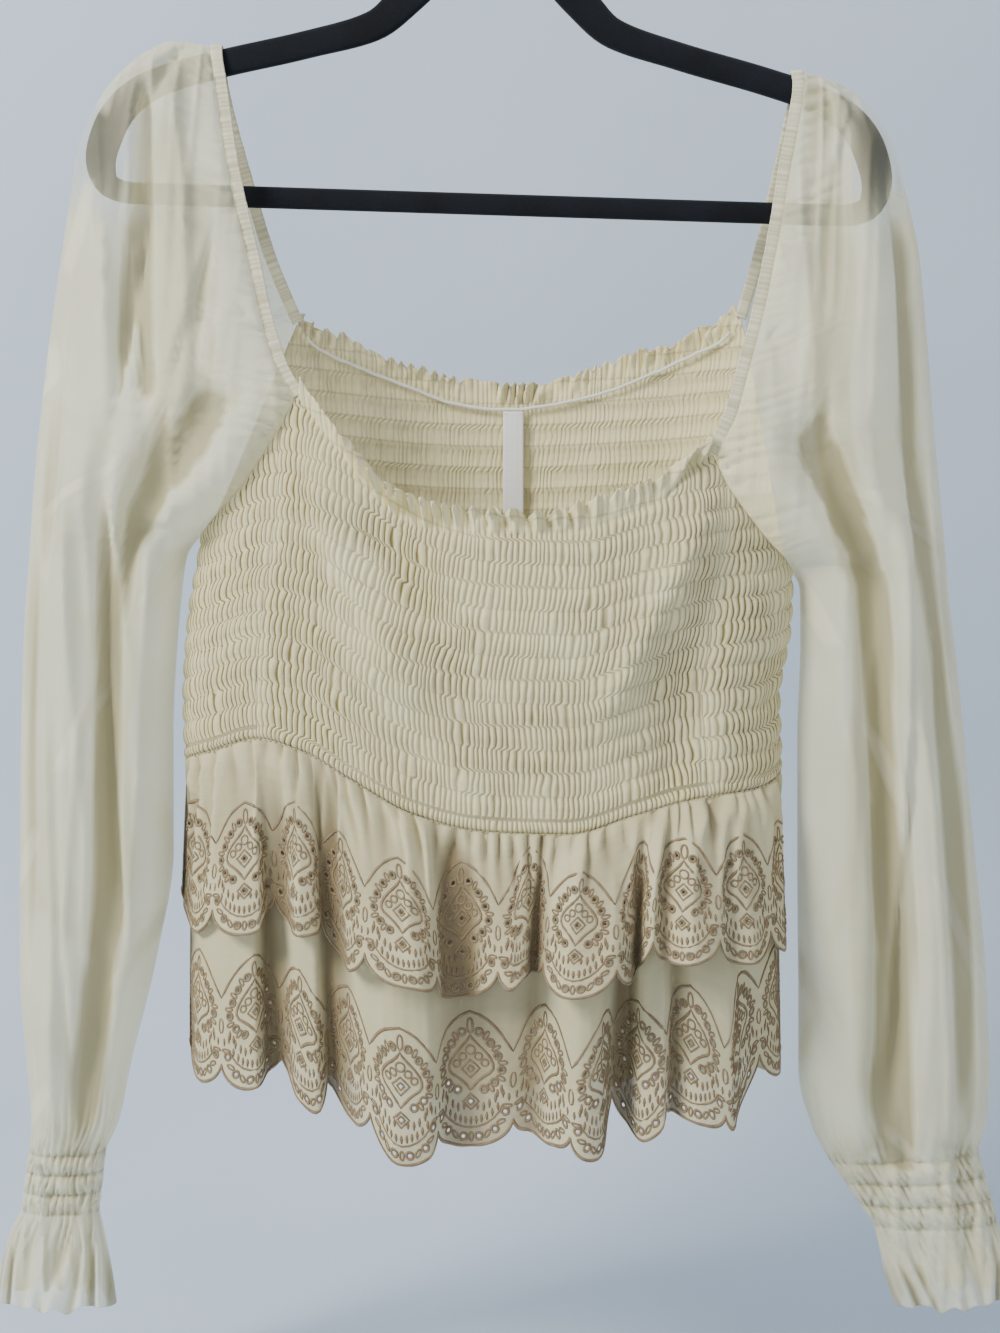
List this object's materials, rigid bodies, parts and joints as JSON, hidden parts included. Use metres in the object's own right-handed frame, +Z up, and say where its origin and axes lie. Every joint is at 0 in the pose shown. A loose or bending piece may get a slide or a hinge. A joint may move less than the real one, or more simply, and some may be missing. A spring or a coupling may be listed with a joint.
{
  "type": "peasant blouse on a hanger",
  "caption": "Shirred peasant blouse with full sheer sleeves, narrow neck bindings and a tiered, scalloped eyelet peplum, hanging from a flat hanger with a wire hook.",
  "frame": {"origin": "the inner top of the hanger's hook, where the rail that holds the hanger bears", "axes": "+Z up; +X towards the wearer's left, which is the right of the blouse seen from the front; the front of the blouse faces -Y"},
  "size_m": [0.5462, 0.1748, 0.821],
  "materials": {
    "black flock": "velvety black flock over a moulded plastic frame",
    "plated wire": "bright plated steel wire",
    "shirred cream crepe": "matt cream crepe, shirred with elastic thread",
    "ivory dobby voile": "sheer ivory voile with faint diagonal dobby stripes",
    "embroidered eyelet cotton": "soft cotton with a tone-on-tone taupe embroidered border",
    "white woven tape": "smooth white tape"
  },
  "bodies": {
    "root": {"hanger_frame": "black flock", "hanger_hook": "plated wire", "bodice_front": "shirred cream crepe", "bodice_back": "shirred cream crepe", "back_neck_elastic": "white woven tape", "neck_label": "white woven tape", "neck_binding_left": "ivory dobby voile", "neck_binding_right": "ivory dobby voile", "sleeve_left_head": "ivory dobby voile", "sleeve_left_arm": "ivory dobby voile", "sleeve_left_cuff": "ivory dobby voile", "sleeve_right_head": "ivory dobby voile", "sleeve_right_arm": "ivory dobby voile", "sleeve_right_cuff": "ivory dobby voile", "upper_tier_front": "embroidered eyelet cotton", "upper_tier_back": "embroidered eyelet cotton", "lower_tier_front": "embroidered eyelet cotton", "lower_tier_back": "embroidered eyelet cotton"}
  },
  "joints": []
}
